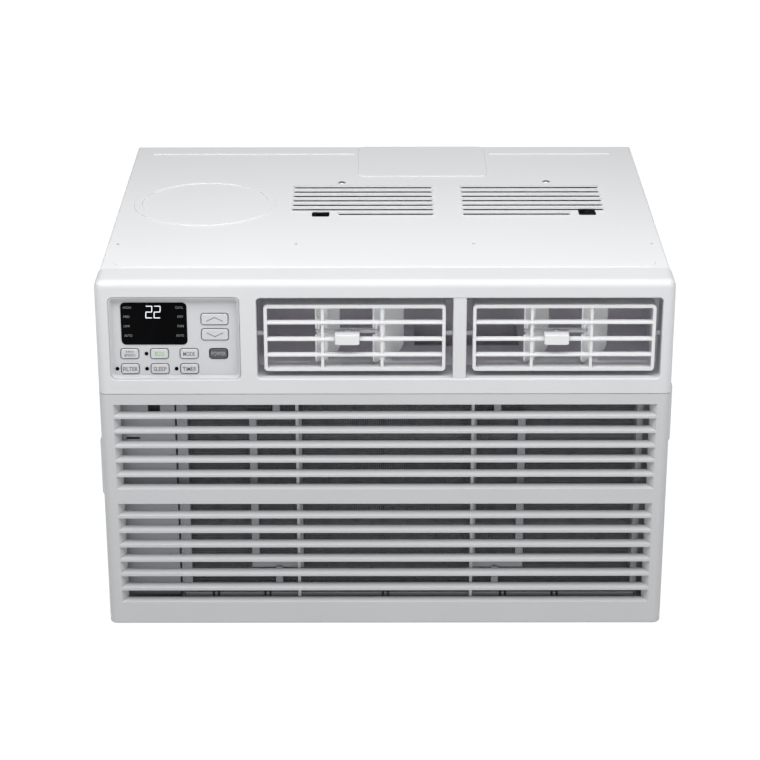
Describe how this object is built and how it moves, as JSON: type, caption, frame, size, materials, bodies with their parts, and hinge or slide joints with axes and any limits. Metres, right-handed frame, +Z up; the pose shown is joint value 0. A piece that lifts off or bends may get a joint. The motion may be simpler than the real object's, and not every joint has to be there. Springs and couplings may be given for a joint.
{
  "type": "window air conditioner",
  "caption": "Window air conditioner: white sheet cabinet, moulded front with tilting intake grille, two tilting outlet louvers with swinging vanes, recessed key panel with display.",
  "frame": {"origin": "centre of the bounding box's underside, on the plane the base pan's skids rest on", "axes": "+Z up, +Y from the room side to the outdoor side, +X to the right seen from the room; the moulded front faces -Y"},
  "size_m": [0.568, 0.447, 0.372],
  "materials": {
    "white_moulding": "fine satin texture",
    "grille_moulding": "fine satin texture",
    "louver_moulding": "satin",
    "fascia_moulding": "satin",
    "key_cap": "satin",
    "dark_key_cap": "satin",
    "display_lens": "polished",
    "inner_moulding": "matte",
    "filter_screen": "woven mesh",
    "duct_plastic": "matte",
    "painted_sheet": "powder coat, fine texture",
    "zinc_sheet": "galvanised",
    "screw_steel": "zinc plated",
    "coil_aluminium": "thin fins",
    "copper": "drawn tube",
    "black_enamel": "enamel",
    "black_rubber": "matte",
    "board": "solder mask",
    "capacitor_can": "drawn can"
  },
  "bodies": {
    "housing": {"front_panel": "white_moulding", "control_fascia": "fascia_moulding", "display_window": "display_lens", "indicator_lenses": "display_lens", "front_frame": "inner_moulding", "discharge_duct": "duct_plastic", "blower_scroll": "duct_plastic", "cabinet": "painted_sheet", "rear_panel": "painted_sheet", "base_pan": "zinc_sheet", "partition": "zinc_sheet", "fan_shroud": "zinc_sheet", "motor_bracket": "zinc_sheet", "coil_end_plates": "zinc_sheet", "control_box": "zinc_sheet", "top_brace": "zinc_sheet", "pan_head_screws": "screw_steel", "cabinet_screws": "screw_steel", "grille_hinge_pins": "screw_steel", "compressor_studs": "screw_steel", "evaporator_fins": "coil_aluminium", "condenser_fins": "coil_aluminium", "evaporator_tubes": "copper", "condenser_tubes": "copper", "suction_tube": "copper", "discharge_tube": "copper", "capillary_tube": "copper", "filter_drier": "copper", "compressor": "black_enamel", "accumulator": "black_enamel", "fan_motor": "black_enamel", "compressor_grommets": "black_rubber", "drain_plug": "black_rubber", "cord_gland": "black_rubber", "control_pcb": "board", "main_board": "board", "run_capacitor": "capacitor_can"},
    "grille": {"intake_grille": "grille_moulding", "filter_frame": "inner_moulding", "filter_mesh": "filter_screen"},
    "fan_rotor": {"fan_shaft": "screw_steel", "blower_wheel": "duct_plastic", "condenser_fan": "duct_plastic"},
    "louver_left": {"louver_frame_left": "louver_moulding"},
    "vane_left_a": {"vane_left_a": "louver_moulding"},
    "vane_left_b": {"vane_left_b": "louver_moulding"},
    "link_left": {"vane_link_left": "louver_moulding"},
    "louver_right": {"louver_frame_right": "louver_moulding"},
    "vane_right_a": {"vane_right_a": "louver_moulding"},
    "vane_right_b": {"vane_right_b": "louver_moulding"},
    "link_right": {"vane_link_right": "louver_moulding"},
    "button_up": {"button_up": "key_cap"},
    "button_down": {"button_down": "key_cap"},
    "button_fan_speed": {"button_fan_speed": "key_cap"},
    "button_eco": {"button_eco": "key_cap"},
    "button_mode": {"button_mode": "key_cap"},
    "button_power": {"button_power": "dark_key_cap"},
    "button_filter": {"button_filter": "key_cap"},
    "button_sleep": {"button_sleep": "key_cap"},
    "button_timer": {"button_timer": "key_cap"}
  },
  "joints": [
    {"name": "grille_tilt", "type": "hinge", "parent": "housing", "child": "grille", "pos_m": [0, -0.2165, 0.008], "axis": [1, 0, 0], "range_deg": [0, 25]},
    {"name": "fan_spin", "type": "hinge", "parent": "housing", "child": "fan_rotor", "pos_m": [0.024, 0.0265, 0.146], "axis": [0, 1, 0], "continuous": true},
    {"name": "louver_tilt_left", "type": "hinge", "parent": "housing", "child": "louver_left", "pos_m": [-0.02935, -0.205, 0.312], "axis": [1, 0, 0], "range_deg": [-14, 14]},
    {"name": "vane_swing_left", "type": "hinge", "parent": "louver_left", "child": "vane_left_a", "pos_m": [-0.05735, -0.1955, 0.312], "axis": [0, 0, 1], "range_deg": [-3, 77]},
    {"name": "vane_follow_left", "type": "hinge", "parent": "louver_left", "child": "vane_left_b", "pos_m": [-0.00135, -0.1955, 0.312], "axis": [0, 0, 1], "range_deg": [-3, 77]},
    {"name": "vane_link_left", "type": "hinge", "parent": "vane_left_a", "child": "link_left", "pos_m": [-0.06457, -0.20508, 0.3145], "axis": [0, 0, 1], "range_deg": [-77, 3]},
    {"name": "louver_tilt_right", "type": "hinge", "parent": "housing", "child": "louver_right", "pos_m": [0.17375, -0.205, 0.312], "axis": [1, 0, 0], "range_deg": [-14, 14]},
    {"name": "vane_swing_right", "type": "hinge", "parent": "louver_right", "child": "vane_right_a", "pos_m": [0.14575, -0.1955, 0.312], "axis": [0, 0, 1], "range_deg": [-3, 77]},
    {"name": "vane_follow_right", "type": "hinge", "parent": "louver_right", "child": "vane_right_b", "pos_m": [0.20175, -0.1955, 0.312], "axis": [0, 0, 1], "range_deg": [-3, 77]},
    {"name": "vane_link_right", "type": "hinge", "parent": "vane_right_a", "child": "link_right", "pos_m": [0.13853, -0.20508, 0.3145], "axis": [0, 0, 1], "range_deg": [-77, 3]},
    {"name": "button_up_press", "type": "slide", "parent": "housing", "child": "button_up", "axis": [0, 1, 0], "range_m": [0, 0.0008], "stiffness_N_per_m": 600, "springref_m": -0.0006},
    {"name": "button_down_press", "type": "slide", "parent": "housing", "child": "button_down", "axis": [0, 1, 0], "range_m": [0, 0.0008], "stiffness_N_per_m": 600, "springref_m": -0.0006},
    {"name": "button_fan_speed_press", "type": "slide", "parent": "housing", "child": "button_fan_speed", "axis": [0, 1, 0], "range_m": [0, 0.0008], "stiffness_N_per_m": 600, "springref_m": -0.0006},
    {"name": "button_eco_press", "type": "slide", "parent": "housing", "child": "button_eco", "axis": [0, 1, 0], "range_m": [0, 0.0008], "stiffness_N_per_m": 600, "springref_m": -0.0006},
    {"name": "button_mode_press", "type": "slide", "parent": "housing", "child": "button_mode", "axis": [0, 1, 0], "range_m": [0, 0.0008], "stiffness_N_per_m": 600, "springref_m": -0.0006},
    {"name": "button_power_press", "type": "slide", "parent": "housing", "child": "button_power", "axis": [0, 1, 0], "range_m": [0, 0.0008], "stiffness_N_per_m": 600, "springref_m": -0.0006},
    {"name": "button_filter_press", "type": "slide", "parent": "housing", "child": "button_filter", "axis": [0, 1, 0], "range_m": [0, 0.0008], "stiffness_N_per_m": 600, "springref_m": -0.0006},
    {"name": "button_sleep_press", "type": "slide", "parent": "housing", "child": "button_sleep", "axis": [0, 1, 0], "range_m": [0, 0.0008], "stiffness_N_per_m": 600, "springref_m": -0.0006},
    {"name": "button_timer_press", "type": "slide", "parent": "housing", "child": "button_timer", "axis": [0, 1, 0], "range_m": [0, 0.0008], "stiffness_N_per_m": 600, "springref_m": -0.0006}
  ],
  "couplings": [
    {"joint": "vane_follow_left", "follows": "vane_swing_left", "ratio": 1},
    {"joint": "vane_link_left", "follows": "vane_swing_left", "ratio": -1},
    {"joint": "vane_follow_right", "follows": "vane_swing_right", "ratio": 1},
    {"joint": "vane_link_right", "follows": "vane_swing_right", "ratio": -1}
  ]
}
